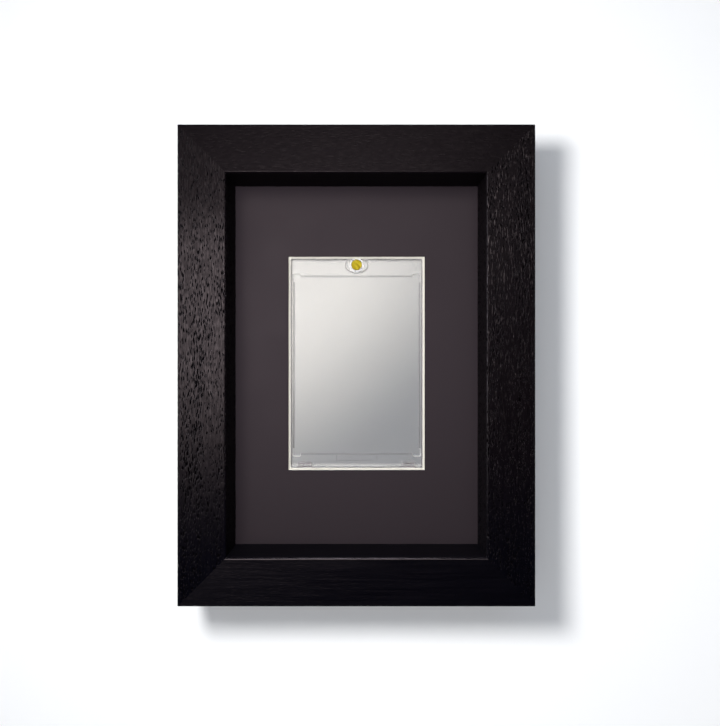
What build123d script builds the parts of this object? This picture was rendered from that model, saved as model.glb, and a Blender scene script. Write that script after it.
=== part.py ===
"""Framed display case for one trading card in a magnetic two-piece holder.

A deep square-section wooden frame, mitred and pinned at the back, carries a pack of sheets in its
rear rebate: a bevel-cut window mat, a foam board with a pocket, a liner and a back board held by
turn buttons. The clear holder pushes into the pocket from the front, just proud of the mat, and its
cover opens forward on a snap hinge at its foot, against a pair of disc magnets at its head.

Millimetres. +Z up, the front looks along -Y, and the origin is the centre of the frame's underside.
"""

import os
from math import atan2, degrees

from build123d import *

# --- frame mouldings -------------------------------------------------------------------------
frame_width = 173.0
frame_height = 233.0
rail_face = 23.5  # width of the moulding seen from the front
rebate_width = 5.0  # how far the sheets reach under the moulding
mat_setback = 24.25  # front of the frame to the mat: the depth of the shadow recess
sight_round = 0.9  # rounded edge next to the recess
front_round = 0.5  # eased outer front edge
back_ease = 0.4  # chamfer on the outer back edge

# --- steel pins driven across each mitre -----------------------------------------------------
pin_leg = 5.0
pin_steel = 0.6
pin_depth = 10.0
pin_half_angle = 52.0
pin_stations = (0.27, 0.62)  # where they cross the back land, as shares of it from the outside

# --- sheets in the rebate --------------------------------------------------------------------
sheet_clearance = 0.5  # each sheet to the rebate's side wall
facing_thickness = 0.25
core_thickness = 0.9
carrier_thickness = 5.0
liner_thickness = 0.6
board_thickness = 3.0
board_chamfer = 0.5
window_rise = 0.95  # the window sits this much above the middle, for a heavier lower margin
mat_gap = 0.25  # holder to the mat's opening, each side
pocket_gap = 0.15  # holder to the pocket's wall, each side
bevel_angle = 45.0

# --- card and its holder ---------------------------------------------------------------------
card_width = 63.5
card_height = 88.9
card_side_play = 0.75
card_end_play = 1.8
card_recess_depth = 1.0
recess_ease = 0.6  # slope round the mouth of the card recess
holder_side_wall = 1.75
header_height = 9.0  # top of the holder to the card recess
foot_height = 7.2  # bottom of the holder to the card recess
holder_corner = 0.8
base_thickness = 3.55
cover_thickness = 2.75
seam_gap = 0.05  # film of air between the closed cover and the base
liner_gap = 0.05  # film of air between the holder and the liner behind it
edge_chamfer = 0.2
ear_size = 4.6  # corner reliefs that keep the card's corners off the walls
ear_out_side = 1.15
ear_out_end = 1.7
ear_round = 1.1
ear_draft = 25.0  # slope of their walls, from square
lap_width = 0.7  # side skirts of the cover, which lap over the base
lap_depth = 0.7
lap_play = 0.1
nail_notch_width = 9.0  # fingernail notches that open the cover, one each side of the magnet
nail_notch_drop = 1.1
nail_notch_depth = 1.0
nail_notch_spacing = 36.0
panel_width = 21.3  # plain sunk panel in the foot of the base
panel_height = 3.2
panel_depth = 0.4
panel_round = 0.6
panel_slope = 45.0  # of its sides, from square

# --- closing magnets -------------------------------------------------------------------------
magnet_diameter = 5.4
base_magnet_thickness = 2.0
cover_magnet_thickness = 1.1
magnet_drop = 3.1  # top of the holder to the magnets' axis
magnet_gap = 0.15
boss_width = 12.2
boss_height = 8.1
boss_rise = 0.55
boss_slope = 0.45  # how far its side leans in from foot to face
boss_play = 0.12
ring_diameter = 7.6
ring_groove = 0.35
magnet_inset = 0.1  # front of the cover to its disc
pocket_flare = 0.2  # chamfer round the mouth of the cover's pocket
magnet_edge = 0.15  # chamfer round the front of a disc

# --- snap hinge of the cover -----------------------------------------------------------------
hinge_spacing = 53.6
hook_width = 6.4
hook_side_play = 0.3
hinge_pin_radius = 0.65
hinge_pin_play = 0.06
hook_skin_play = 0.1
hook_mouth = 0.95  # slot in the top of each hook, narrower than the pin that snaps through it
hinge_relief = 0.3

# --- turn buttons ----------------------------------------------------------------------------
button_inset = 6.5  # pivot to the edge of the rebate
button_hub = 4.5
button_tip = 3.0
button_reach = 12.0  # pivot to the end of the tip
button_steel = 1.0
button_edge = 0.3  # chamfer round the outer face of a button
button_spread = 120.0  # between the upper and the lower pair
grip_height = 0.7
grip_length = 4.0
grip_width = 1.4
button_screw = {"shank": 1.45, "depth": 11.0, "head": 3.1, "crown": 1.7, "cross": 3.2}
button_hole_play = 0.1

# --- sawtooth hanger -------------------------------------------------------------------------
hanger_length = 46.0
hanger_height = 8.5
hanger_steel = 0.8
hanger_standoff = 1.6
hanger_bridge = 25.0  # length of the raised middle
hanger_ramp = 2.5
hanger_hole_spacing = 38.0
hanger_end_flat = 0.5  # left straight between the two rounded corners of an end
tooth_pitch = 3.0
tooth_flat = 0.6  # left straight between two teeth
tooth_depth = 1.5
tooth_count = 7
hanger_screw = {"shank": 1.2, "depth": 9.0, "head": 2.4, "crown": 1.3, "cross": 2.5}
hanger_hole_play = 0.15

# --- wall bumpers ----------------------------------------------------------------------------
bumper_diameter = 10.0
bumper_height = 3.2
bumper_taper = 18.0
bumper_inset = 27.0  # from the frame's outer side
bumper_rise = 9.5

# --- shared by all the screws ----------------------------------------------------------------
cross_slot = 0.9  # width of the drive recess
cross_depth = 0.8
crown_taper = 35.0  # slope of the head's side

# --- places that follow from the sizes -------------------------------------------------------
mat_thickness = facing_thickness + core_thickness
pack_thickness = mat_thickness + carrier_thickness + liner_thickness + board_thickness
rail_depth = mat_setback + pack_thickness
front_y = -rail_depth / 2
back_y = rail_depth / 2
mat_front_y = front_y + mat_setback
core_front_y = mat_front_y + facing_thickness
carrier_front_y = mat_front_y + mat_thickness
liner_front_y = carrier_front_y + carrier_thickness
board_front_y = liner_front_y + liner_thickness

opening_width = frame_width - 2 * rail_face
opening_height = frame_height - 2 * rail_face
sheet_width = opening_width + 2 * (rebate_width - sheet_clearance)
sheet_height = opening_height + 2 * (rebate_width - sheet_clearance)
land_width = rail_face - rebate_width  # flat back of the moulding outside the rebate
middle_z = frame_height / 2
window_z = middle_z + window_rise

recess_width = card_width + 2 * card_side_play
recess_height = card_height + 2 * card_end_play
holder_width = recess_width + 2 * holder_side_wall
holder_height = foot_height + recess_height + header_height
holder_foot_z = window_z - holder_height / 2
holder_head_z = window_z + holder_height / 2
recess_z = holder_foot_z + foot_height + recess_height / 2
holder_back_y = liner_front_y - liner_gap
seam_y = holder_back_y - base_thickness  # front face of the base
cover_back_y = seam_y - seam_gap
cover_front_y = cover_back_y - cover_thickness
holder_depth = base_thickness + seam_gap + cover_thickness

magnet_z = holder_head_z - magnet_drop
boss_face_y = seam_y - boss_rise
hinge_radius = cover_thickness / 2
hinge_y = cover_back_y - hinge_radius
hinge_z = holder_foot_z + hinge_radius
hook_radius = hinge_radius - hook_skin_play
notch_width = hook_width + 2 * hook_side_play
notch_top = hinge_radius + hook_radius + hinge_relief  # above the holder's foot

button_x = opening_width / 2 + rebate_width + button_inset
button_pivots = {
    "upper_left": (-button_x, middle_z + button_spread / 2),
    "upper_right": (button_x, middle_z + button_spread / 2),
    "lower_left": (-button_x, middle_z - button_spread / 2),
    "lower_right": (button_x, middle_z - button_spread / 2),
}
hanger_z = frame_height - land_width / 2
hanger_holes = [(side * hanger_hole_spacing / 2, hanger_z) for side in (-1, 1)]


def front_plane(y):
    """Sketch plane at depth y: its x is +X, its y is +Z and it looks out of the front."""
    return Plane.XZ.offset(-y)


def back_plane(y):
    """Sketch plane at depth y that looks out of the back: its x is -X and its y is +Z."""
    return Plane(origin=(0, y, 0), x_dir=(-1, 0, 0), z_dir=(0, 1, 0))


def at_back(points):
    """Points given as (X, Z), in the coordinates of a back plane."""
    return [(-x, z) for x, z in points]


# --- fasteners: made first, because they also cut their own holes ------------------------------
def wood_screws(label, points, seat_y, steel_under_head, size):
    """Pan-head screws driven into the back of the frame at the points, through a steel plate."""
    with BuildPart() as screws:
        with BuildSketch(back_plane(seat_y)):
            with Locations(*at_back(points)):
                Circle(size["shank"])
        extrude(amount=-size["depth"])
        with BuildSketch(back_plane(seat_y)):
            with Locations(*at_back(points)):
                Circle(size["shank"])
        extrude(amount=steel_under_head)
        with BuildSketch(back_plane(seat_y + steel_under_head)):
            with Locations(*at_back(points)):
                Circle(size["head"])
        extrude(amount=size["crown"], taper=crown_taper)
        with BuildSketch(back_plane(seat_y + steel_under_head + size["crown"])):
            with Locations(*at_back(points)):
                Rectangle(size["cross"], cross_slot)
                Rectangle(cross_slot, size["cross"])
        extrude(amount=-cross_depth, mode=Mode.SUBTRACT)
    screws.part.label = label
    return screws


turn_button_screws = wood_screws(
    "turn_button_screws", list(button_pivots.values()), back_y, button_steel, button_screw
)
hanger_screws = wood_screws("hanger_screws", hanger_holes, back_y, hanger_steel, hanger_screw)

# V-shaped sheet-steel pins, two across each mitre, driven in flush with the back.
with BuildPart() as v_nails:
    with BuildSketch(back_plane(back_y)):
        for side in (-1, 1):
            for end in (-1, 1):
                for station in pin_stations:
                    out = land_width * station
                    apex_x = side * (frame_width / 2 - out)
                    apex_z = middle_z + end * (frame_height / 2 - out)
                    inward = degrees(atan2(-end, side))
                    for turn in (-pin_half_angle, pin_half_angle):
                        with Locations(Location((-apex_x, apex_z, 0), (0, 0, inward + turn))):
                            Rectangle(pin_leg, pin_steel, align=(Align.MIN, Align.CENTER))
    extrude(amount=-pin_depth)
v_nails.part.label = "v_nails"


# --- the four mitred mouldings -----------------------------------------------------------------
def moulding(label, outer_edge, inward, length):
    """One rail: its section is drawn from the outer edge inwards, front side up, run out and mitred."""
    section = Plane(origin=outer_edge, x_dir=inward, z_dir=Vector(inward).cross(Vector(0, -1, 0)))
    front = rail_depth / 2
    shoulder = front - mat_setback
    with BuildPart() as rail:
        with BuildSketch(section) as profile:
            with BuildLine():
                Polyline(
                    (0, -front),
                    (land_width, -front),
                    (land_width, shoulder),
                    (rail_face, shoulder),
                    (rail_face, front),
                    (0, front),
                    close=True,
                )
            make_face()
            fillet(profile.vertices().group_by(Axis.Y)[-1].sort_by(Axis.X)[-1], radius=sight_round)
            fillet(profile.vertices().group_by(Axis.Y)[-1].sort_by(Axis.X)[0], radius=front_round)
            chamfer(profile.vertices().group_by(Axis.Y)[0].sort_by(Axis.X)[0], length=back_ease)
        extrude(amount=length / 2, both=True)
        for end in (-1, 1):
            corner = section.origin + section.z_dir * (end * length / 2)
            split(
                bisect_by=Plane(origin=corner, z_dir=section.z_dir * end + section.x_dir),
                keep=Keep.BOTTOM,
            )
        for fastener in (v_nails, turn_button_screws, hanger_screws):
            add(fastener.part, mode=Mode.SUBTRACT)
    rail.part.label = label
    return rail


half_width = frame_width / 2
top_rail = moulding("top_rail", (0, 0, frame_height), (0, 0, -1), frame_width)
bottom_rail = moulding("bottom_rail", (0, 0, 0), (0, 0, 1), frame_width)
left_rail = moulding("left_rail", (-half_width, 0, middle_z), (1, 0, 0), frame_height)
right_rail = moulding("right_rail", (half_width, 0, middle_z), (-1, 0, 0), frame_height)

# --- window mat: a thin dark facing on a white core, cut through at a bevel --------------------
with BuildPart() as window_cut:
    with BuildSketch(front_plane(carrier_front_y)):
        with Locations((0, window_z)):
            Rectangle(holder_width + 2 * mat_gap, holder_height + 2 * mat_gap)
    extrude(amount=mat_thickness, taper=-bevel_angle)

with BuildPart() as mat_core:
    with BuildSketch(front_plane(carrier_front_y)):
        with Locations((0, middle_z)):
            Rectangle(sheet_width, sheet_height)
    extrude(amount=core_thickness)
    add(window_cut.part, mode=Mode.SUBTRACT)
mat_core.part.label = "mat_core"

with BuildPart() as mat_facing:
    with BuildSketch(front_plane(core_front_y)):
        with Locations((0, middle_z)):
            Rectangle(sheet_width, sheet_height)
    extrude(amount=facing_thickness)
    add(window_cut.part, mode=Mode.SUBTRACT)
mat_facing.part.label = "mat_facing"

# --- foam board with the pocket that grips the holder ------------------------------------------
with BuildPart() as holder_carrier:
    with BuildSketch(front_plane(liner_front_y)):
        with Locations((0, middle_z)):
            Rectangle(sheet_width, sheet_height)
        with Locations((0, window_z)):
            Rectangle(
                holder_width + 2 * pocket_gap,
                holder_height + 2 * pocket_gap,
                mode=Mode.SUBTRACT,
            )
    extrude(amount=carrier_thickness)
holder_carrier.part.label = "holder_carrier"

with BuildPart() as liner_card:
    with BuildSketch(front_plane(board_front_y)):
        with Locations((0, middle_z)):
            Rectangle(sheet_width, sheet_height)
    extrude(amount=liner_thickness)
liner_card.part.label = "liner_card"

with BuildPart() as back_board:
    with BuildSketch(front_plane(back_y)):
        with Locations((0, middle_z)):
            Rectangle(sheet_width, sheet_height)
    extrude(amount=board_thickness)
    chamfer(back_board.faces().sort_by(Axis.Y)[-1].edges(), length=board_chamfer)
back_board.part.label = "back_board"


# --- turn buttons: pressed steel, each on its own screw ----------------------------------------
def turn_button(label, pivot):
    """A tapered steel button whose tip holds the back board; a raised grip crosses its tip."""
    x, z = pivot
    to_centre = 1 if x < 0 else -1
    tip_x = x + to_centre * (button_reach - button_tip)
    with BuildPart() as button:
        with BuildSketch(back_plane(back_y)):
            with Locations(*at_back([pivot])):
                Circle(button_hub)
            with Locations(*at_back([(tip_x, z)])):
                Circle(button_tip)
            make_hull()
        extrude(amount=button_steel)
        chamfer(button.faces().sort_by(Axis.Y)[-1].edges(), length=button_edge)
        with BuildSketch(back_plane(back_y + button_steel)):
            with Locations(*at_back([(tip_x, z)])):
                SlotOverall(grip_length, grip_width, rotation=90)
        extrude(amount=grip_height)
        with BuildSketch(back_plane(back_y)):
            with Locations(*at_back([pivot])):
                Circle(button_screw["shank"] + button_hole_play)
        extrude(amount=button_steel, mode=Mode.SUBTRACT)
    button.part.label = label
    return button


turn_buttons = [turn_button(f"turn_button_{place}", at) for place, at in button_pivots.items()]

# --- sawtooth hanger: a strip with its middle set off the wall side, toothed underneath --------
with BuildPart() as sawtooth_hanger:
    with BuildSketch(Plane.XY.offset(hanger_z - hanger_height / 2)):
        with BuildLine():
            wall_side = [
                (-hanger_length / 2, back_y),
                (-hanger_bridge / 2 - hanger_ramp, back_y),
                (-hanger_bridge / 2, back_y + hanger_standoff),
                (hanger_bridge / 2, back_y + hanger_standoff),
                (hanger_bridge / 2 + hanger_ramp, back_y),
                (hanger_length / 2, back_y),
            ]
            Polyline(*wall_side, *[(x, y + hanger_steel) for x, y in reversed(wall_side)], close=True)
        make_face()
    extrude(amount=hanger_height)
    end_edges = sawtooth_hanger.edges().filter_by(Axis.Y).group_by(Axis.X)
    fillet(end_edges[0] + end_edges[-1], radius=(hanger_height - hanger_end_flat) / 2)
    with BuildSketch(back_plane(back_y)):
        with Locations(*at_back(hanger_holes)):
            Circle(hanger_screw["shank"] + hanger_hole_play)
        with Locations((0, hanger_z - hanger_height / 2)):
            with GridLocations(tooth_pitch, 1, tooth_count, 1):
                with BuildLine():
                    Polyline(
                        ((tooth_flat - tooth_pitch) / 2, 0),
                        (0, tooth_depth),
                        ((tooth_pitch - tooth_flat) / 2, 0),
                        close=True,
                    )
                make_face()
    extrude(amount=hanger_standoff + hanger_steel, mode=Mode.SUBTRACT)
sawtooth_hanger.part.label = "sawtooth_hanger"


# --- rubber bumpers that hold the foot of the frame off the wall -------------------------------
def wall_bumper(label, side):
    """A self-adhesive rubber bumper near one lower corner."""
    with BuildPart() as bumper:
        with BuildSketch(back_plane(back_y)):
            with Locations(*at_back([(side * (half_width - bumper_inset), bumper_rise)])):
                Circle(bumper_diameter / 2)
        extrude(amount=bumper_height, taper=bumper_taper)
    bumper.part.label = label
    return bumper


bumpers = [wall_bumper("wall_bumper_left", -1), wall_bumper("wall_bumper_right", 1)]


# --- clear holder: base --------------------------------------------------------------------------
hook_centres = [side * hinge_spacing / 2 for side in (-1, 1)]

with BuildPart() as holder_base:
    with BuildSketch(front_plane(holder_back_y)):
        with Locations((0, window_z)):
            RectangleRounded(holder_width, holder_height, holder_corner)
    extrude(amount=base_thickness)
    chamfer(holder_base.faces().sort_by(Axis.Y)[-1].edges(), length=edge_chamfer)

    # card recess with sloping sides and a drafted relief at each corner
    with BuildSketch(back_plane(seam_y)):
        with Locations((0, recess_z)):
            Rectangle(recess_width, recess_height)
    extrude(amount=card_recess_depth, mode=Mode.SUBTRACT)
    with BuildSketch(front_plane(seam_y + recess_ease)):
        with Locations((0, recess_z)):
            Rectangle(recess_width, recess_height)
    extrude(amount=recess_ease, taper=-45, mode=Mode.SUBTRACT)
    with BuildSketch(back_plane(seam_y)):
        with Locations((0, recess_z)):
            with GridLocations(
                recess_width + 2 * ear_out_side - ear_size,
                recess_height + 2 * ear_out_end - ear_size,
                2,
                2,
            ):
                RectangleRounded(ear_size, ear_size, ear_round)
    extrude(amount=card_recess_depth, taper=ear_draft, mode=Mode.SUBTRACT)

    # oval boss round the magnet with a sloping side, cut off flush at the head
    for lean, y in ((0, seam_y), (boss_slope, boss_face_y)):
        with BuildSketch(front_plane(y)):
            with Locations((0, magnet_z)):
                Ellipse(boss_width / 2 - lean, boss_height / 2 - lean)
    loft()
    with BuildSketch(front_plane(holder_back_y)):
        with Locations((0, window_z)):
            RectangleRounded(holder_width, holder_height, holder_corner)
    extrude(amount=holder_depth, mode=Mode.INTERSECT)

    # rabbets that the cover's side skirts lap over
    with BuildSketch(front_plane(seam_y)):
        with Locations((0, holder_foot_z + foot_height)):
            with GridLocations(holder_width - lap_width - lap_play, 1, 2, 1):
                Rectangle(lap_width + lap_play, holder_height, align=(Align.CENTER, Align.MIN))
    extrude(amount=-(lap_depth + lap_play), mode=Mode.SUBTRACT)

    # magnet pocket, the groove round it and the fingernail notches
    with BuildSketch(front_plane(boss_face_y)):
        with Locations((0, magnet_z)):
            Circle(magnet_diameter / 2)
    extrude(amount=-(base_magnet_thickness + magnet_gap), mode=Mode.SUBTRACT)
    with BuildSketch(front_plane(boss_face_y)):
        with Locations((0, magnet_z)):
            Circle(ring_diameter / 2)
            Circle(ring_diameter / 2 - ring_groove, mode=Mode.SUBTRACT)
    extrude(amount=-ring_groove, mode=Mode.SUBTRACT)
    with BuildSketch(front_plane(seam_y)):
        with Locations((0, holder_head_z)):
            with GridLocations(nail_notch_spacing, 1, 2, 1):
                Ellipse(nail_notch_width / 2, nail_notch_drop)
    extrude(amount=-nail_notch_depth, mode=Mode.SUBTRACT)

    # plain panel, and the relief that clears the cover's rounded foot
    with BuildSketch(back_plane(seam_y)):
        with Locations((0, holder_foot_z + (foot_height + notch_top) / 2)):
            RectangleRounded(panel_width, panel_height, panel_round)
    extrude(amount=panel_depth, taper=panel_slope, mode=Mode.SUBTRACT)
    with BuildSketch(front_plane(seam_y)):
        with Locations((0, holder_foot_z)):
            Rectangle(holder_width, notch_top, align=(Align.CENTER, Align.MIN))
    extrude(amount=-hinge_relief, mode=Mode.SUBTRACT)

    # two hooks that hold the cover's hinge pins
    for hook_x in hook_centres:
        with BuildSketch(Plane.YZ.offset(hook_x)):
            with Locations((hinge_y, hinge_z)):
                Circle(hook_radius)
                Rectangle(
                    hinge_radius + seam_gap + hinge_relief,
                    2 * hook_radius,
                    align=(Align.MIN, Align.CENTER),
                )
                Circle(hinge_pin_radius + hinge_pin_play, mode=Mode.SUBTRACT)
                Rectangle(
                    hook_mouth,
                    2 * hook_radius,
                    align=(Align.CENTER, Align.MIN),
                    mode=Mode.SUBTRACT,
                )
        extrude(amount=hook_width / 2, both=True)
holder_base.part.label = "holder_base"

# --- clear holder: cover -------------------------------------------------------------------------
with BuildPart() as holder_cover:
    with BuildSketch(Plane.YZ):
        with Locations((hinge_y, hinge_z)):
            Circle(hinge_radius)
            Rectangle(
                cover_thickness,
                holder_head_z - hinge_z,
                align=(Align.CENTER, Align.MIN),
            )
    extrude(amount=holder_width / 2, both=True)
    front_face = holder_cover.faces().filter_by(Axis.Y).sort_by(Axis.Y)[0]
    chamfer(front_face.edges().sort_by(Axis.Z)[-1], length=edge_chamfer)
    with BuildSketch(front_plane(cover_back_y)):
        with Locations((0, holder_foot_z + foot_height + lap_play)):
            with GridLocations(holder_width - lap_width, 1, 2, 1):
                Rectangle(lap_width, holder_height, align=(Align.CENTER, Align.MIN))
    extrude(amount=-(seam_gap + lap_depth))
    with BuildSketch(front_plane(holder_back_y)):
        with Locations((0, window_z)):
            RectangleRounded(holder_width, holder_height, holder_corner)
    extrude(amount=holder_depth, mode=Mode.INTERSECT)

    # socket over the magnet boss, and a flared pocket in the front for the cover's own disc
    with BuildSketch(front_plane(seam_y)):
        with Locations((0, magnet_z)):
            Ellipse(boss_width / 2 + boss_play, boss_height / 2 + boss_play)
    extrude(amount=boss_rise + boss_play, mode=Mode.SUBTRACT)
    with BuildSketch(front_plane(cover_front_y)):
        with Locations((0, magnet_z)):
            Circle(magnet_diameter / 2)
    extrude(amount=-(magnet_inset + cover_magnet_thickness), mode=Mode.SUBTRACT)
    with BuildSketch(front_plane(cover_front_y + pocket_flare)):
        with Locations((0, magnet_z)):
            Circle(magnet_diameter / 2)
    extrude(amount=pocket_flare, taper=-45, mode=Mode.SUBTRACT)

    # a notch round each hook, crossed by a hinge pin
    with BuildSketch(front_plane(seam_y)):
        with Locations((0, holder_foot_z)):
            with GridLocations(hinge_spacing, 1, 2, 1):
                Rectangle(notch_width, notch_top, align=(Align.CENTER, Align.MIN))
    extrude(amount=seam_gap + cover_thickness, mode=Mode.SUBTRACT)
    for hook_x in hook_centres:
        with BuildSketch(Plane.YZ.offset(hook_x)):
            with Locations((hinge_y, hinge_z)):
                Circle(hinge_pin_radius)
        extrude(amount=notch_width / 2, both=True)
holder_cover.part.label = "holder_cover"


# --- disc magnets, each on the floor of its pocket -----------------------------------------------
def disc_magnet(label, floor_y, thickness):
    """A plated disc that stands on its pocket's floor at depth floor_y."""
    with BuildPart() as disc:
        with BuildSketch(front_plane(floor_y)):
            with Locations((0, magnet_z)):
                Circle(magnet_diameter / 2)
        extrude(amount=thickness)
        chamfer(disc.faces().sort_by(Axis.Y)[0].edges(), length=magnet_edge)
    disc.part.label = label
    return disc


base_magnet = disc_magnet(
    "base_magnet", boss_face_y + base_magnet_thickness + magnet_gap, base_magnet_thickness
)
cover_magnet = disc_magnet(
    "cover_magnet", cover_front_y + magnet_inset + cover_magnet_thickness, cover_magnet_thickness
)

os.makedirs("parts", exist_ok=True)
for piece in (
    top_rail,
    bottom_rail,
    left_rail,
    right_rail,
    v_nails,
    mat_facing,
    mat_core,
    holder_carrier,
    liner_card,
    back_board,
    *turn_buttons,
    turn_button_screws,
    sawtooth_hanger,
    hanger_screws,
    *bumpers,
    holder_base,
    holder_cover,
    base_magnet,
    cover_magnet,
):
    export_step(piece.part, f"parts/{piece.part.label}.step")
    print(piece.part.label, len(piece.part.solids()), round(piece.part.volume, 1), piece.part.is_valid)
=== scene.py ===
"""Looks of a wall-hung display case for one trading card: a black-stained open-grained wooden frame,
a bevel-cut charcoal mat and a clear hinged holder with a gilt magnet, hung in soft studio light.
Metres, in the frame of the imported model: +X right, +Z up, and the front looks along -Y."""

from math import cos, radians, sin

import bmesh
import bpy
from mathutils import Matrix, Vector


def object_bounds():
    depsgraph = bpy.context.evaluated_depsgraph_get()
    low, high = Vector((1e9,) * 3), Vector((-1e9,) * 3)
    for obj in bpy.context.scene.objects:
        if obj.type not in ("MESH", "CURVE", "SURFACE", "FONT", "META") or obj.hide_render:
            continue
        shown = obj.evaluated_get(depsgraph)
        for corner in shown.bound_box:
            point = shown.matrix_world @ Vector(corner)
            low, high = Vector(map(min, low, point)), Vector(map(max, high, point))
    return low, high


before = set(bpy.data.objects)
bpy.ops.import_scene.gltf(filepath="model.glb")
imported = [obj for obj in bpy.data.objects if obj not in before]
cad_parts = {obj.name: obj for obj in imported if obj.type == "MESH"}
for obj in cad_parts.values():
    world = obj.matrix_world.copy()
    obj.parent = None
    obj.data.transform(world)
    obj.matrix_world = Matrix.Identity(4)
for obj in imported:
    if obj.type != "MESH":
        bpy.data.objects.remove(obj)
cad_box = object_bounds()

# --- Frame mouldings ------------------------------------------------------------------------------
# Four mitred rails of open-pored ash, square in section, with the sight edge rounded over. They are
# spirit-stained black and wiped with a satin lacquer thin enough to leave every pore open, so the
# face shows short dark dashes along the grain wherever it takes a sheen.
MM = 0.001


def colour(code):
    """An sRGB hex code as linear RGBA."""
    shares = [int(code[i : i + 2], 16) / 255 for i in (1, 3, 5)]
    return *[c / 12.92 if c <= 0.04045 else ((c + 0.055) / 1.055) ** 2.4 for c in shares], 1.0


def add(tree, kind, inputs=None, **settings):
    """Adds one node: its settings, and its inputs, each a plain value or another node's output."""
    made = tree.nodes.new(kind)
    for name, value in settings.items():
        setattr(made, name, value)
    for name, value in (inputs or {}).items():
        if isinstance(value, bpy.types.NodeSocket):
            tree.links.new(value, made.inputs[name])
        else:
            made.inputs[name].default_value = value
    return made


def socket_name(word):
    """A socket's name from a plain word: specular_ior_level is Specular IOR Level."""
    return word.replace("_", " ").title().replace("Ior", "IOR")


def start_finish(name, **values):
    """A new material with its shader's own sockets set, as (material, node tree, shader)."""
    material = bpy.data.materials.new(name)
    material.use_nodes = True
    shader = material.node_tree.nodes["Principled BSDF"]
    for word, value in values.items():
        shader.inputs[socket_name(word)].default_value = value
    return material, material.node_tree, shader


def wire(tree, node, **outputs):
    """Links finished patterns to a node's sockets."""
    for word, output in outputs.items():
        tree.links.new(output, node.inputs[socket_name(word)])


def dress(material, *nodes):
    """Gives CAD nodes their material."""
    for name in nodes:
        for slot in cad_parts[name].material_slots:
            slot.material = material


def spread(name, axis):
    """Where a CAD node begins and ends along one axis."""
    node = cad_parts[name]
    places = [(node.matrix_world @ Vector(corner))[axis] for corner in node.bound_box]
    return min(places), max(places)


opening_width = spread("right_rail", 0)[0] - spread("left_rail", 0)[1]
opening_foot = spread("bottom_rail", 2)[1]
opening_head = spread("top_rail", 2)[0]
opening_height = opening_head - opening_foot


def board_grain(tree, place, along_z, offset):
    """Turns the board's place so that X follows its fibres, which waver slowly along the board and
    slightly round each knot of growth. Returns the function that stretches a pattern along them."""
    turn = (0, radians(90), 0) if along_z else (0, 0, 0)
    grain = add(
        tree, "ShaderNodeMapping", {"Vector": place, "Rotation": turn, "Location": offset}
    ).outputs["Vector"]
    bent = grain
    for length, sway in ((30 * MM, 1.8 * MM), (8 * MM, 0.35 * MM)):
        waver = add(
            tree, "ShaderNodeTexNoise", {"Vector": grain, "Scale": 1 / length, "Detail": 1.0}
        ).outputs["Color"]
        bent = add(
            tree, "ShaderNodeVectorMath", {0: waver, 1: (0, sway, sway), 2: bent}, operation="MULTIPLY_ADD"
        ).outputs["Vector"]

    def stretched(along, across):
        """The board scaled so that one unit is this long along the fibres and this wide across."""
        scale = (1 / along, 1 / across, 1 / across)
        return add(tree, "ShaderNodeMapping", {"Vector": bent, "Scale": scale}).outputs["Vector"]

    return stretched


def open_pores(tree, stretched, openness):
    """How open the wood is at each place, from 0 to 1. Pores crowd together in the early wood of each
    ring, many short ones and a few long ones, and are drawn wider than real so that they show."""
    ring_width = 7.0 * MM
    late_wood, early_wood = 0.34, 0.62
    bottom_share = 0.55
    kinds = (
        {"along": 2.8 * MM, "across": 0.74 * MM, "least": 0.28, "most": 0.48},
        {"along": 7.0 * MM, "across": 1.0 * MM, "least": 0.08, "most": 0.32},
    )
    rings = add(
        tree,
        "ShaderNodeTexNoise",
        {"Vector": stretched(11 * ring_width, ring_width), "Scale": 1.0, "Detail": 2.0},
    ).outputs["Fac"]
    pores = 0.0
    for kind in kinds:
        cells = add(
            tree,
            "ShaderNodeTexVoronoi",
            {"Vector": stretched(kind["along"], kind["across"]), "Scale": 1.0, "Randomness": 1.0},
            feature="F1",
        ).outputs["Distance"]
        mouth = add(
            tree,
            "ShaderNodeMapRange",
            {
                "Value": rings,
                "From Min": late_wood,
                "From Max": early_wood,
                "To Min": kind["least"],
                "To Max": kind["most"],
            },
        ).outputs["Result"]
        bottom = add(
            tree, "ShaderNodeMath", {0: mouth, 1: bottom_share}, operation="MULTIPLY"
        ).outputs["Value"]
        hollow = add(
            tree,
            "ShaderNodeMapRange",
            {"Value": cells, "From Min": mouth, "From Max": bottom},
            interpolation_type="SMOOTHSTEP",
        ).outputs["Result"]
        pores = add(tree, "ShaderNodeMath", {0: pores, 1: hollow}, operation="MAXIMUM").outputs["Value"]
    return add(tree, "ShaderNodeMath", {0: pores, 1: openness}, operation="MULTIPLY").outputs["Value"]


def black_stain(tree, streaks, up, pores):
    """Spirit stain, lighter in the late wood and blackest in the pores. Towards the foot it is painted
    bluer and darker, as painted shade where less light falls on the rail."""
    # painted shade: bluer, darker tones towards the foot of the rail
    shade_from, shade_to = 5 * MM, 95 * MM
    shaded_foot_tones = ("#030307", "#06060e")
    upper_tones = ("#070507", "#0f0b0f")
    tones = []
    for dark, light in (shaded_foot_tones, upper_tones):
        tones.append(
            add(
                tree,
                "ShaderNodeMix",
                {"Factor": streaks, 6: colour(dark), 7: colour(light)},
                data_type="RGBA",
            ).outputs[2]
        )
    out_of_painted_shade = add(
        tree,
        "ShaderNodeMapRange",
        {"Value": up, "From Min": shade_from, "From Max": shade_to},
        interpolation_type="SMOOTHSTEP",
    ).outputs["Result"]
    stain = add(
        tree, "ShaderNodeMix", {"Factor": out_of_painted_shade, 6: tones[0], 7: tones[1]}, data_type="RGBA"
    ).outputs[2]
    return add(
        tree, "ShaderNodeMix", {"Factor": pores, 6: stain, 7: colour("#030203")}, data_type="RGBA"
    ).outputs[2]


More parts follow.
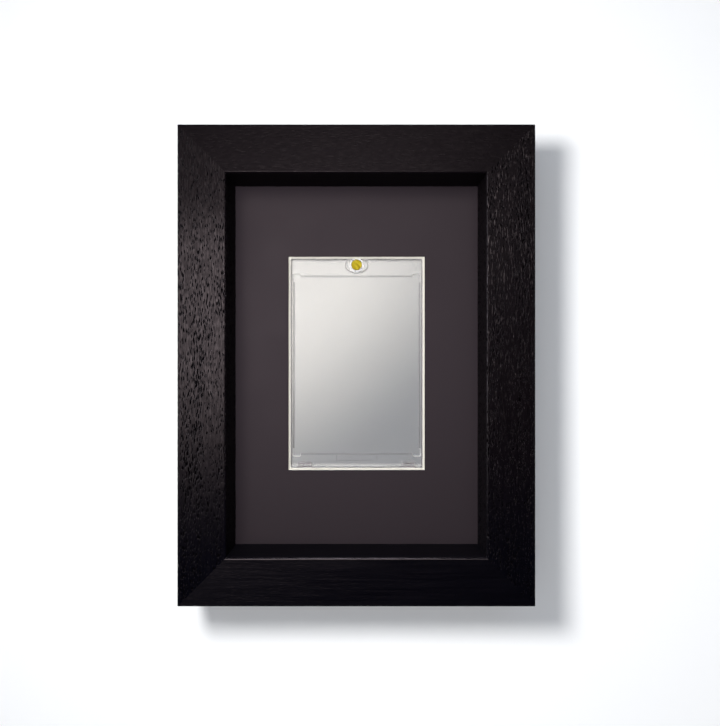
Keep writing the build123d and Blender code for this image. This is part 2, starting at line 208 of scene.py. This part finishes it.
def sight_edge(tree, place):
    """Two masks: the walls of the recess, which are dull stain only, and a thin line along the rounded
    sight edge whose extra gloss is a painted highlight line."""
    wall_play = 0.1 * MM
    highlight_from_edge = 0.3 * MM
    highlight_half_width = 0.25 * MM
    middle_z = (opening_foot + opening_head) / 2
    from_middle = add(
        tree, "ShaderNodeVectorMath", {0: place, 1: (0, 0, middle_z)}, operation="SUBTRACT"
    ).outputs["Vector"]
    shares = add(
        tree,
        "ShaderNodeVectorMath",
        {0: from_middle, 1: (2 / opening_width, 0, 2 / opening_height)},
        operation="MULTIPLY",
    ).outputs["Vector"]
    sizes = add(tree, "ShaderNodeVectorMath", {0: shares}, operation="ABSOLUTE").outputs["Vector"]
    apart = add(tree, "ShaderNodeSeparateXYZ", {0: sizes})
    outermost = add(
        tree, "ShaderNodeMath", {0: apart.outputs["X"], 1: apart.outputs["Z"]}, operation="MAXIMUM"
    ).outputs["Value"]
    dull = add(
        tree, "ShaderNodeMath", {0: outermost, 1: 1 + 2 * wall_play / opening_width}, operation="LESS_THAN"
    ).outputs["Value"]
    edge_highlight_line = add(
        tree,
        "ShaderNodeMath",
        {0: outermost, 1: 1 + 2 * highlight_from_edge / opening_width, 2: 2 * highlight_half_width / opening_width},
        operation="COMPARE",
    ).outputs["Value"]
    return dull, edge_highlight_line


def lacquer_gloss_and_painted_sheen(tree, stretched, up, satin, head, foot, fewest, fleck):
    """The gloss of the wiped lacquer, brightest on the fibres that stand proud. Towards the head and the
    foot of an upright rail the gloss is cut back as a painted sheen, so that it shines only where the light
    falls."""
    sheen_cut_head_from, sheen_cut_head_to = 172 * MM, 202 * MM
    sheen_cut_foot_from, sheen_cut_foot_to = 10 * MM, 130 * MM
    fibre_length, fibre_width = 3.4 * MM, 0.5 * MM
    proudest = 0.72
    between_fibres = 0.8
    fibres = add(
        tree,
        "ShaderNodeTexNoise",
        {"Vector": stretched(fibre_length, fibre_width), "Scale": 1.0, "Detail": 1.0},
    ).outputs["Fac"]
    film = add(
        tree,
        "ShaderNodeMapRange",
        {
            "Value": fibres,
            "From Min": fewest,
            "From Max": proudest,
            "To Min": between_fibres * satin,
            "To Max": fleck * satin,
        },
    ).outputs["Result"]
    # painted sheen: gloss cut back towards the head and the foot of the rail
    for start, end, share_below, share_above in (
        (sheen_cut_head_from, sheen_cut_head_to, 1.0, head),
        (sheen_cut_foot_from, sheen_cut_foot_to, foot, 1.0),
    ):
        share = add(
            tree,
            "ShaderNodeMapRange",
            {
                "Value": up,
                "From Min": start,
                "From Max": end,
                "To Min": share_below,
                "To Max": share_above,
            },
            interpolation_type="SMOOTHSTEP",
        ).outputs["Result"]
        film = add(tree, "ShaderNodeMath", {0: film, 1: share}, operation="MULTIPLY").outputs["Value"]
    return film


def stained_ash(name, along_z, offset, satin, head, foot, openness, fewest, fleck):
    """Black-stained ash: grain along Z or X, its place in the board, the lacquer's gloss with this rail's
    painted sheen, the shares of it kept at the head and at the foot as painted sheen, how open the pores
    were left, and how few of the fibres stand proud and how bright they shine."""
    pore_depth = 0.16 * MM
    late_wood_rise = 0.12
    streak_length, streak_width = 40 * MM, 0.9 * MM
    smoothest, dullest = 0.18, 0.26
    pore_rougher, wall_rougher = 0.2, 0.45
    wall_gloss, highlight_gloss, rim_gloss = 0.22, 0.35, 0.6
    material, tree, shader = start_finish(name, ior=1.5, specular_tint=colour("#fff1ff"))
    place = add(tree, "ShaderNodeTexCoord").outputs["Object"]
    up = add(tree, "ShaderNodeSeparateXYZ", {0: place}).outputs["Z"]
    stretched = board_grain(tree, place, along_z, offset)
    pores = open_pores(tree, stretched, openness)
    dull, edge_highlight_line = sight_edge(tree, place)
    streaks = add(
        tree,
        "ShaderNodeTexNoise",
        {"Vector": stretched(streak_length, streak_width), "Scale": 1.0, "Detail": 3.0},
    ).outputs["Fac"]

    # rougher in the late wood's streaks, in the pores and on the walls of the recess
    roughness = add(
        tree,
        "ShaderNodeMapRange",
        {"Value": streaks, "From Min": 0.3, "From Max": 0.7, "To Min": smoothest, "To Max": dullest},
    ).outputs["Result"]
    for mask, rougher in ((pores, pore_rougher), (dull, wall_rougher)):
        roughness = add(
            tree, "ShaderNodeMath", {0: mask, 1: rougher, 2: roughness}, operation="MULTIPLY_ADD"
        ).outputs["Value"]

    # the lacquer stops at the recess and stands in a bead round each pore; extra gloss along the sight edge
    # is a painted highlight line; the lacquer never reached the floor of the pores
    film = lacquer_gloss_and_painted_sheen(tree, stretched, up, satin, head, foot, fewest, fleck)
    to_wall = add(tree, "ShaderNodeMath", {0: wall_gloss, 1: film}, operation="SUBTRACT").outputs["Value"]
    film = add(
        tree, "ShaderNodeMath", {0: dull, 1: to_wall, 2: film}, operation="MULTIPLY_ADD"
    ).outputs["Value"]
    rim = add(
        tree,
        "ShaderNodeMapRange",
        {"Value": pores, "From Min": 0.02, "From Max": 0.25, "To Min": 0.0, "To Max": rim_gloss * openness},
    ).outputs["Result"]
    highlights_and_rims = add(
        tree, "ShaderNodeMath", {0: edge_highlight_line, 1: highlight_gloss, 2: rim}, operation="MULTIPLY_ADD"
    ).outputs["Value"]
    lacquer_and_highlights = add(tree, "ShaderNodeMath", {0: film, 1: highlights_and_rims}, operation="ADD").outputs["Value"]
    not_in_pores = add(
        tree,
        "ShaderNodeMapRange",
        {"Value": pores, "From Min": 0.3, "From Max": 0.75, "To Min": 1.0, "To Max": 0.0},
    ).outputs["Result"]
    gloss = add(tree, "ShaderNodeMath", {0: lacquer_and_highlights, 1: not_in_pores}, operation="MULTIPLY").outputs["Value"]

    # pores are sunk, and the late wood stands a little proud
    sunk = add(tree, "ShaderNodeMath", {0: pores, 1: -1.0}, operation="MULTIPLY").outputs["Value"]
    height = add(
        tree, "ShaderNodeMath", {0: streaks, 1: late_wood_rise, 2: sunk}, operation="MULTIPLY_ADD"
    ).outputs["Value"]
    bump = add(tree, "ShaderNodeBump", {"Height": height, "Strength": 1.0, "Distance": pore_depth})
    wire(
        tree,
        shader,
        base_color=black_stain(tree, streaks, up, pores),
        roughness=roughness,
        specular_ior_level=gloss,
        normal=bump.outputs["Normal"],
    )
    return material


# each rail comes from another place in the board, so its pores differ; its gloss and the shares kept at
# head and foot are set per rail as painted sheen, for the light that rail catches
left_ash = stained_ash(
    "black_stained_ash_left",
    along_z=True,
    offset=(0.13, 0.02, 0.41),
    satin=0.29,
    head=0.38,
    foot=0.17,
    openness=1.0,
    fewest=0.45,
    fleck=2.0,
)
right_ash = stained_ash(
    "black_stained_ash_right",
    along_z=True,
    offset=(0.57, 0.31, 0.09),
    satin=0.135,
    head=0.85,
    foot=1.0,
    openness=1.0,
    fewest=0.58,
    fleck=7.0,
)
top_ash = stained_ash(
    "black_stained_ash_top",
    along_z=False,
    offset=(0.22, 0.47, 0.16),
    satin=0.085,
    head=1.0,
    foot=1.0,
    openness=0.1,
    fewest=0.45,
    fleck=1.4,
)
bottom_ash = stained_ash(
    "black_stained_ash_bottom",
    along_z=False,
    offset=(0.71, 0.05, 0.28),
    satin=0.45,
    head=1.0,
    foot=1.0,
    openness=0.05,
    fewest=0.45,
    fleck=1.3,
)
dress(left_ash, "left_rail")
dress(right_ash, "right_rail")
dress(top_ash, "top_rail")
dress(bottom_ash, "bottom_rail")

# --- Window mat -----------------------------------------------------------------------------------
# Two plies: a thin charcoal paper pasted on a white cotton core, its window cut by a slanted blade
# so that the core shows as a white bevel all round. The paper is matt, with a slight fibre tooth.


def pressed_paper(name, code, fibre, relief, roughness, contrast=0.1, **values):
    """Paper board: fibres show as a mottle of the given size and contrast, and as a shallow tooth."""
    cloud_size = 14 * MM
    cloud_contrast = 0.06
    uneven = 0.12
    material, tree, shader = start_finish(name, **values)
    place = add(tree, "ShaderNodeTexCoord").outputs["Object"]
    tooth = add(
        tree, "ShaderNodeTexNoise", {"Vector": place, "Scale": 1 / fibre, "Detail": 4.0}
    ).outputs["Fac"]
    cloud = add(
        tree, "ShaderNodeTexNoise", {"Vector": place, "Scale": 1 / cloud_size, "Detail": 2.0}
    ).outputs["Fac"]
    mottle = 1 - contrast / 2
    for pattern, share in ((tooth, contrast), (cloud, cloud_contrast)):
        mottle = add(
            tree, "ShaderNodeMath", {0: pattern, 1: share, 2: mottle}, operation="MULTIPLY_ADD"
        ).outputs["Value"]
    tint = add(tree, "ShaderNodeVectorMath", {0: colour(code)[:3], "Scale": mottle}, operation="SCALE")
    patchy = add(
        tree, "ShaderNodeMath", {0: cloud, 1: uneven, 2: roughness - uneven / 2}, operation="MULTIPLY_ADD"
    )
    bump = add(tree, "ShaderNodeBump", {"Height": tooth, "Strength": 0.5, "Distance": relief})
    wire(
        tree,
        shader,
        base_color=tint.outputs["Vector"],
        roughness=patchy.outputs["Value"],
        normal=bump.outputs["Normal"],
    )
    return material


facing = pressed_paper(
    "charcoal_mat_paper",
    "#2d272c",
    fibre=0.35 * MM,
    relief=0.012 * MM,
    roughness=0.42,
    specular_ior_level=0.28,
    specular_tint=colour("#fff2ff"),
)
core = pressed_paper("cut_cotton_core", "#e4e2d8", fibre=0.25 * MM, relief=0.03 * MM, roughness=0.75)
dress(facing, "mat_facing")
dress(core, "mat_core")

# --- Sheets behind the mat ------------------------------------------------------------------------
# A white foam board whose pocket grips the holder, a pale grey liner that shows through the holder,
# and a brown fibreboard back pressed from coarse fibres, all loose sheets dropped into the rebate
# from behind.
foam = pressed_paper("faced_foam_board", "#eeeeea", fibre=0.6 * MM, relief=0.02 * MM, roughness=0.6)
liner = pressed_paper(
    "pale_grey_liner_card",
    "#9d9ea3",
    fibre=0.5 * MM,
    relief=0.004 * MM,
    roughness=0.45,
    specular_ior_level=0.3,
)
fibreboard = pressed_paper(
    "pressed_fibreboard",
    "#5f4429",
    fibre=1.1 * MM,
    relief=0.12 * MM,
    roughness=0.7,
    contrast=1.3,
    specular_ior_level=0.3,
)
dress(foam, "holder_carrier")
dress(liner, "liner_card")
dress(fibreboard, "back_board")

# --- Clear holder ---------------------------------------------------------------------------------
# Base and cover are injection-moulded from clear acrylic and polished. Lamps reach the liner behind
# them, and the edges, the seam and the card recess draw thin lines where they bend the light.


def painted_white_highlights(tree, place, squareness):
    """Where white is painted on the clear acrylic as a painted highlight, for the light these places catch
    and bend: on the drafted corner reliefs, and in a ring round each magnet."""
    relief_draft = 25
    relief_highlight_white, halo_white = 0.6, 0.32
    halo_radius = 3.2 * MM
    halo_half_width = 0.42 * MM
    relief = add(
        tree,
        "ShaderNodeMath",
        {0: squareness, 1: sin(radians(relief_draft)), 2: 0.06},
        operation="COMPARE",
    ).outputs["Value"]
    disc_z = sum(spread("cover_magnet", 2)) / 2
    beside = add(
        tree, "ShaderNodeVectorMath", {0: place, 1: (0, 0, disc_z)}, operation="SUBTRACT"
    ).outputs["Vector"]
    radial = add(
        tree, "ShaderNodeVectorMath", {0: beside, 1: (1, 0, 1)}, operation="MULTIPLY"
    ).outputs["Vector"]
    away = add(tree, "ShaderNodeVectorMath", {0: radial}, operation="LENGTH").outputs["Value"]
    halo_mask = add(
        tree,
        "ShaderNodeMath",
        {0: away, 1: halo_radius, 2: halo_half_width},
        operation="COMPARE",
    ).outputs["Value"]
    white = 0.0
    for mask, share in ((relief, relief_highlight_white), (halo_mask, halo_white)):
        white = add(
            tree, "ShaderNodeMath", {0: mask, 1: share, 2: white}, operation="MULTIPLY_ADD"
        ).outputs["Value"]
    return white


def clear_acrylic(name):
    """Polished moulded acrylic that lets lamplight through to what lies behind it. Its faces square
    to the front are polished like the mould's, faintly wavy and dulled where fingers held them; draft
    and edge walls keep the mould's matt finish."""
    finger_mark = 9 * MM
    waviness = 0.003 * MM
    polished, fingered, matt = 0.02, 0.05, 0.3
    wall_haze = 0.4
    most_reflected = 0.1
    acrylic_ior = 1.49
    material, tree, shader = start_finish(
        name, base_color=colour("#fefefe"), ior=acrylic_ior, transmission_weight=1.0
    )
    coordinates = add(tree, "ShaderNodeTexCoord")
    place = coordinates.outputs["Object"]
    turned = add(
        tree,
        "ShaderNodeVectorMath",
        {0: coordinates.outputs["Normal"], 1: (0, 1, 0)},
        operation="DOT_PRODUCT",
    ).outputs["Value"]
    squareness = add(tree, "ShaderNodeMath", {0: turned}, operation="ABSOLUTE").outputs["Value"]
    wall_mask = add(
        tree, "ShaderNodeMapRange", {"Value": squareness, "From Min": 0.9, "From Max": 0.6}
    ).outputs["Result"]
    handled = add(
        tree, "ShaderNodeTexNoise", {"Vector": place, "Scale": 1 / finger_mark, "Detail": 3.0}
    ).outputs["Fac"]
    polish = add(
        tree,
        "ShaderNodeMapRange",
        {"Value": handled, "From Min": 0.4, "From Max": 0.7, "To Min": polished, "To Max": fingered},
    ).outputs["Result"]
    roughness = add(
        tree, "ShaderNodeMath", {0: wall_mask, 1: matt, 2: polish}, operation="MULTIPLY_ADD"
    )
    bump = add(tree, "ShaderNodeBump", {"Height": handled, "Strength": 1.0, "Distance": waviness})
    wire(tree, shader, roughness=roughness.outputs["Value"], normal=bump.outputs["Normal"])

    # matt walls are hazy, and white is painted on the corner reliefs and round the magnets as a painted
    # highlight
    haze = add(tree, "ShaderNodeBsdfTranslucent", {"Color": colour("#d3c6d0")})
    white_highlight_bsdf = add(tree, "ShaderNodeBsdfDiffuse", {"Color": colour("#f4f4f6")})
    hazy = add(
        tree, "ShaderNodeMath", {0: wall_mask, 1: wall_haze}, operation="MULTIPLY"
    ).outputs["Value"]
    seen = shader.outputs["BSDF"]
    for share, cloudy in ((hazy, haze), (painted_white_highlights(tree, place, squareness), white_highlight_bsdf)):
        seen = add(
            tree, "ShaderNodeMixShader", {0: share, 1: seen, 2: cloudy.outputs["BSDF"]}
        ).outputs["Shader"]

    # shadow rays pass as through a clear film, so that lamps light the liner
    grazing = add(
        tree,
        "ShaderNodeMath",
        {0: add(tree, "ShaderNodeFresnel", {"IOR": acrylic_ior}).outputs["Fac"], 1: most_reflected},
        operation="MINIMUM",
    ).outputs["Value"]
    let_through = add(
        tree,
        "ShaderNodeMix",
        {"Factor": grazing, 6: colour("#fdfefe"), 7: colour("#202222")},
        data_type="RGBA",
    ).outputs[2]
    film = add(tree, "ShaderNodeBsdfTransparent", {"Color": let_through}).outputs["BSDF"]
    shadow_ray = add(tree, "ShaderNodeLightPath").outputs["Is Shadow Ray"]
    surface = add(tree, "ShaderNodeMixShader", {0: shadow_ray, 1: seen, 2: film})
    wire(tree, tree.nodes["Material Output"], surface=surface.outputs["Shader"])
    return material


dress(clear_acrylic("clear_moulded_acrylic"), "holder_base", "holder_cover")

# --- Closing magnets ------------------------------------------------------------------------------
# Two small sintered discs. The one in the cover is plated in a gold colour and shows fine slanting
# scratches from its tumbling; the one in the base is nickel-plated.


def plated_disc(name, code, scratch_code):
    """Plated metal with slanting scratches, drawn coarser than real so that they show."""
    scratch_pitch = 0.65 * MM
    scratch_depth = 0.04 * MM
    scratch_slant = radians(-40)
    scratch_stretch = 8
    material, tree, shader = start_finish(name, metallic=0.8, roughness=0.55)
    place = add(tree, "ShaderNodeTexCoord").outputs["Object"]
    slant = add(
        tree,
        "ShaderNodeMapping",
        {"Vector": place, "Rotation": (0, scratch_slant, 0), "Scale": (1, 1, scratch_stretch)},
        vector_type="TEXTURE",
    ).outputs["Vector"]
    cloud = add(
        tree, "ShaderNodeTexNoise", {"Vector": slant, "Scale": 1 / scratch_pitch, "Detail": 3.0}
    ).outputs["Fac"]
    lines = add(
        tree, "ShaderNodeMapRange", {"Value": cloud, "From Min": 0.38, "From Max": 0.6}
    ).outputs["Result"]
    tint = add(
        tree,
        "ShaderNodeMix",
        {"Factor": lines, 6: colour(code), 7: colour(scratch_code)},
        data_type="RGBA",
    )
    bump = add(tree, "ShaderNodeBump", {"Height": lines, "Strength": 0.4, "Distance": scratch_depth})
    wire(tree, shader, base_color=tint.outputs[2], normal=bump.outputs["Normal"])
    return material


dress(plated_disc("gilt_magnet_plate", "#c0a410", "#fbe84a"), "cover_magnet")
dress(plated_disc("nickel_magnet_plate", "#b9b6ae", "#d8d6d0"), "base_magnet")

# --- Hardware on the back -------------------------------------------------------------------------
# Pressed and zinc-plated steel buttons and hanger, black-oxide pan-head screws and sheared steel pins
# across the mitres. All are tumbled in a barrel, which leaves cloudy marks and hairline scratches.


def plated_steel(name, code, roughness):
    """Pressed steel with a thin plating: faint cloudy marks, worn through to darker specks, and
    hairline scratches."""
    cloud_size = 1.6 * MM
    darkest, cloud_contrast = 0.85, 0.3
    scratch_pitch = 0.3 * MM
    scratch_turn = (0, radians(35), radians(20))
    scratch_stretch = 12
    scratch_share = 0.4
    wear_depth = 0.01 * MM
    material, tree, shader = start_finish(name, metallic=1.0)
    place = add(tree, "ShaderNodeTexCoord").outputs["Object"]
    clouds = add(
        tree, "ShaderNodeTexNoise", {"Vector": place, "Scale": 1 / cloud_size, "Detail": 4.0}
    ).outputs["Fac"]
    shade = add(
        tree, "ShaderNodeMath", {0: clouds, 1: cloud_contrast, 2: darkest}, operation="MULTIPLY_ADD"
    ).outputs["Value"]
    tint = add(tree, "ShaderNodeVectorMath", {0: colour(code)[:3], "Scale": shade}, operation="SCALE")
    hairline = add(
        tree,
        "ShaderNodeMapping",
        {"Vector": place, "Rotation": scratch_turn, "Scale": (scratch_stretch, 1, 1)},
        vector_type="TEXTURE",
    ).outputs["Vector"]
    scratches = add(
        tree, "ShaderNodeTexNoise", {"Vector": hairline, "Scale": 1 / scratch_pitch, "Detail": 2.0}
    ).outputs["Fac"]
    rubbed = add(
        tree, "ShaderNodeMath", {0: scratches, 1: scratch_share, 2: clouds}, operation="MULTIPLY_ADD"
    ).outputs["Value"]
    worn = add(
        tree,
        "ShaderNodeMapRange",
        {
            "Value": rubbed,
            "From Max": 1 + scratch_share,
            "To Min": roughness - 0.1,
            "To Max": roughness + 0.14,
        },
    )
    bump = add(tree, "ShaderNodeBump", {"Height": rubbed, "Strength": 0.6, "Distance": wear_depth})
    wire(
        tree,
        shader,
        base_color=tint.outputs["Vector"],
        roughness=worn.outputs["Result"],
        normal=bump.outputs["Normal"],
    )
    return material


dress(
    plated_steel("zinc_plated_steel", "#a3a4a2", 0.34),
    "turn_button_upper_left",
    "turn_button_upper_right",
    "turn_button_lower_left",
    "turn_button_lower_right",
    "sawtooth_hanger",
)
dress(plated_steel("black_oxide_steel", "#2a2a2d", 0.4), "turn_button_screws", "hanger_screws")
dress(plated_steel("sheared_steel_pin", "#8a8a8c", 0.45), "v_nails")

# --- Wall bumpers ---------------------------------------------------------------------------------
# Two tapered bumpers of soft moulded rubber, stuck to the back of the bottom rail to hold the case
# off the wall. The rubber is black and matt, greyed where dust has settled.


def moulded_rubber(name, code, dusty_code):
    """Soft moulded rubber: a fine pebble from the mould, and dust that has settled in it."""
    pebble = 0.35 * MM
    pebble_depth = 0.05 * MM
    dust_patch = 9 * pebble
    clean_roughness, dust_rougher = 0.5, 0.3
    material, tree, shader = start_finish(name, ior=1.52)
    place = add(tree, "ShaderNodeTexCoord").outputs["Object"]
    grain = add(
        tree, "ShaderNodeTexNoise", {"Vector": place, "Scale": 1 / pebble, "Detail": 3.0}
    ).outputs["Fac"]
    dust = add(
        tree, "ShaderNodeTexNoise", {"Vector": place, "Scale": 1 / dust_patch, "Detail": 4.0}
    ).outputs["Fac"]
    settled = add(
        tree, "ShaderNodeMapRange", {"Value": dust, "From Min": 0.45, "From Max": 0.75}
    ).outputs["Result"]
    tint = add(
        tree,
        "ShaderNodeMix",
        {"Factor": settled, 6: colour(code), 7: colour(dusty_code)},
        data_type="RGBA",
    )
    dusty = add(
        tree,
        "ShaderNodeMath",
        {0: settled, 1: dust_rougher, 2: clean_roughness},
        operation="MULTIPLY_ADD",
    )
    bump = add(tree, "ShaderNodeBump", {"Height": grain, "Strength": 0.8, "Distance": pebble_depth})
    wire(
        tree,
        shader,
        base_color=tint.outputs[2],
        roughness=dusty.outputs["Value"],
        normal=bump.outputs["Normal"],
    )
    return material


rubber = moulded_rubber("black_bumper_rubber", "#161616", "#34322f")
dress(rubber, "wall_bumper_left", "wall_bumper_right")

# --- Wall and floor -------------------------------------------------------------------------------
# The case hangs on a plain white wall, close against its bumpers. The wall shows from the front
# only, so that the back of the case can be looked at, and a pale floor lies below it.
wall_gap = 0.3 * MM
floor_drop = 1.2
stage_reach = 3.0
low, high = cad_box
middle = (low + high) / 2
wall_y = high.y + wall_gap
floor_z = low.z - floor_drop


def sheet(name, corners):
    """A flat stage sheet through four corners."""
    mesh = bpy.data.meshes.new(name)
    made = bmesh.new()
    made.faces.new([made.verts.new(corner) for corner in corners])
    made.to_mesh(mesh)
    made.free()
    piece = bpy.data.objects.new(name, mesh)
    bpy.context.scene.collection.objects.link(piece)
    return piece


wall = sheet(
    "wall",
    [
        (-stage_reach, wall_y, floor_z),
        (stage_reach, wall_y, floor_z),
        (stage_reach, wall_y, stage_reach),
        (-stage_reach, wall_y, stage_reach),
    ],
)
floor = sheet(
    "floor",
    [
        (-stage_reach, -stage_reach, floor_z),
        (stage_reach, -stage_reach, floor_z),
        (stage_reach, stage_reach, floor_z),
        (-stage_reach, stage_reach, floor_z),
    ],
)
plaster, plaster_tree, plaster_shader = start_finish(
    "white_wall_paint", base_color=colour("#f2f2f2"), roughness=0.9, specular_ior_level=0.0
)
plaster_seen = add(
    plaster_tree,
    "ShaderNodeMixShader",
    {
        0: add(plaster_tree, "ShaderNodeNewGeometry").outputs["Backfacing"],
        1: plaster_shader.outputs["BSDF"],
        2: add(plaster_tree, "ShaderNodeBsdfTransparent").outputs["BSDF"],
    },
)
wire(plaster_tree, plaster_tree.nodes["Material Output"], surface=plaster_seen.outputs["Shader"])
wall.data.materials.append(plaster)
wall.visible_shadow = False

# the floor is far below the lamps, and shows the camera an even pale grey
pale, pale_tree, pale_shader = start_finish(
    "pale_floor_paint", base_color=colour("#ececec"), roughness=0.8, specular_ior_level=0.1
)
pale_glow = add(pale_tree, "ShaderNodeEmission", {"Color": colour("#e4e4e4"), "Strength": 1.0})
pale_seen = add(
    pale_tree,
    "ShaderNodeMixShader",
    {
        0: add(pale_tree, "ShaderNodeLightPath").outputs["Is Camera Ray"],
        1: pale_shader.outputs["BSDF"],
        2: pale_glow.outputs["Emission"],
    },
)
wire(pale_tree, pale_tree.nodes["Material Output"], surface=pale_seen.outputs["Shader"])
floor.data.materials.append(pale)
floor.visible_glossy = False
floor.visible_transmission = False

# --- Light ----------------------------------------------------------------------------------------
# Soft studio light. A small near lamp and a wide weak fill shine through the sight opening on mat and
# holder, two lamps for the wall alone whiten it and throw the case's soft shadow to the lower right,
# and the others light the sides, the head and the back.


def toward(left, up):
    """The direction from the case towards a place this many degrees left and above the camera."""
    level = cos(radians(up))
    return Vector((-sin(radians(left)) * level, -cos(radians(left)) * level, sin(radians(up))))


def lamp(name, left, up, distance, size, watts, glossy=True):
    """A round soft lamp, aimed at the middle of the case and out of the camera's sight."""
    data = bpy.data.lights.new(name, "AREA")
    data.shape = "DISK"
    data.size = size
    data.energy = watts
    made = bpy.data.objects.new(name, data)
    direction = toward(left, up)
    made.matrix_world = (
        Matrix.Translation(middle + direction * distance)
        @ direction.to_track_quat("Z", "Y").to_matrix().to_4x4()
    )
    made.visible_camera = False
    made.visible_glossy = glossy
    made.visible_transmission = glossy
    bpy.context.scene.collection.objects.link(made)
    return made


def keep_to(lamp_object, state):
    """Lights the wall alone (INCLUDE), or everything but the wall (EXCLUDE)."""
    receivers = bpy.data.collections.new(lamp_object.name + "_receivers")
    receivers.objects.link(wall)
    receivers.collection_objects[0].light_linking.link_state = state
    lamp_object.light_linking.receiver_collection = receivers


near_lamp = lamp("near_lamp", left=10, up=9, distance=0.27, size=0.05, watts=0.65, glossy=False)
soft_fill = lamp("soft_fill", left=0, up=12, distance=1.5, size=2.5, watts=1.4, glossy=False)
wall_fill = lamp("wall_fill", left=0, up=12, distance=1.5, size=2.5, watts=10.2, glossy=False)
wall_lamp = lamp("wall_lamp", left=23, up=15.5, distance=0.31, size=0.1, watts=11.0, glossy=False)
side_lamp = lamp("side_lamp", left=78, up=8, distance=1.2, size=0.9, watts=4.5)
top_lamp = lamp("top_lamp", left=0, up=76, distance=1.2, size=0.4, watts=3.0)
lamp("back_left", left=150, up=30, distance=1.0, size=0.6, watts=6.5)
lamp("back_right", left=215, up=25, distance=1.0, size=0.6, watts=6.5)
for kept_off_wall in (near_lamp, soft_fill, side_lamp, top_lamp):
    keep_to(kept_off_wall, "EXCLUDE")
for kept_to_wall in (wall_fill, wall_lamp):
    keep_to(kept_to_wall, "INCLUDE")

# the wall's fill is bluish, and its near lamp lights it as evenly as a far one would
wall_fill.data.color = colour("#d8e8ff")[:3]
wall_lamp.data.use_nodes = True
lamp_tree = wall_lamp.data.node_tree
even = add(lamp_tree, "ShaderNodeLightFalloff", {"Strength": 1.0})
wire(lamp_tree, lamp_tree.nodes["Emission"], strength=even.outputs["Constant"])

# --- Diffusers ------------------------------------------------------------------------------------
# Two soft-edged oval diffusers beside the camera, seen only as reflections: their fading edge is the
# gradient in the clear cover and the sheen of the upright rails. The camera itself sees plain white.
world = bpy.data.worlds.new("studio")
bpy.context.scene.world = world
world.use_nodes = True
sky = world.node_tree
sky.nodes.clear()
look = add(sky, "ShaderNodeTexCoord").outputs["Generated"]


def diffuser(left, up, radius, edge, strength, longer=1.0, tilt=0.0):
    """Brightness of an oval diffuser with a soft edge, and of its twin on the opposite side, in
    degrees seen from the case."""
    centre = toward(left, up)
    level = Vector((0, 0, 1)).cross(centre).normalized()
    long_way = level * cos(radians(tilt)) + centre.cross(level) * sin(radians(tilt))
    offsets = []
    for axis, half_angle in ((long_way, radius * longer), (long_way.cross(centre), radius)):
        offset = add(
            sky,
            "ShaderNodeVectorMath",
            {0: look, 1: axis / sin(radians(half_angle))},
            operation="DOT_PRODUCT",
        )
        offsets.append(offset.outputs["Value"])
    spot = add(sky, "ShaderNodeCombineXYZ", {"X": offsets[0], "Y": offsets[1]}).outputs["Vector"]
    away = add(sky, "ShaderNodeVectorMath", {0: spot}, operation="LENGTH").outputs["Value"]
    return add(
        sky,
        "ShaderNodeMapRange",
        {
            "Value": away,
            "From Min": 1 + edge / radius,
            "From Max": max(1 - edge / radius, 0.0),
            "To Min": 0.0,
            "To Max": strength,
        },
        interpolation_type="SMOOTHSTEP",
    ).outputs["Result"]


key = diffuser(left=5, up=8.5, radius=9.5, edge=7, strength=3.25, longer=1.8, tilt=42)
side_glow = diffuser(left=15, up=5, radius=13, edge=12, strength=0.8)
glow = add(sky, "ShaderNodeMath", {0: key, 1: side_glow}, operation="ADD").outputs["Value"]
mirrored = add(sky, "ShaderNodeBackground", {"Color": colour("#fff8ee"), "Strength": glow})
backdrop = add(sky, "ShaderNodeBackground", {"Color": colour("#ffffff"), "Strength": 1.0})
all_rays = add(
    sky,
    "ShaderNodeMixShader",
    {
        0: add(sky, "ShaderNodeLightPath").outputs["Is Camera Ray"],
        1: mirrored.outputs["Background"],
        2: backdrop.outputs["Background"],
    },
)
add(sky, "ShaderNodeOutputWorld", {"Surface": all_rays.outputs["Shader"]})

# --- Camera ---------------------------------------------------------------------------------------
# Square on to the case and close to it, so that the inner walls of the recess open out. It stands
# a little right of and above the middle, as the uneven widths of those walls show.
eye_distance = 312 * MM
eye_right = 1.76 * MM
eye_rise = 1.16 * MM
eye = bpy.data.cameras.new("eye")
eye.lens = 32.04
eye.sensor_width = 36.0
camera = bpy.data.objects.new("camera", eye)
camera.location = (eye_right, low.y - eye_distance, middle.z + eye_rise)
camera.rotation_euler = (radians(90), 0, 0)
bpy.context.scene.collection.objects.link(camera)
bpy.context.scene.camera = camera
bpy.context.scene.view_settings.view_transform = "Standard"
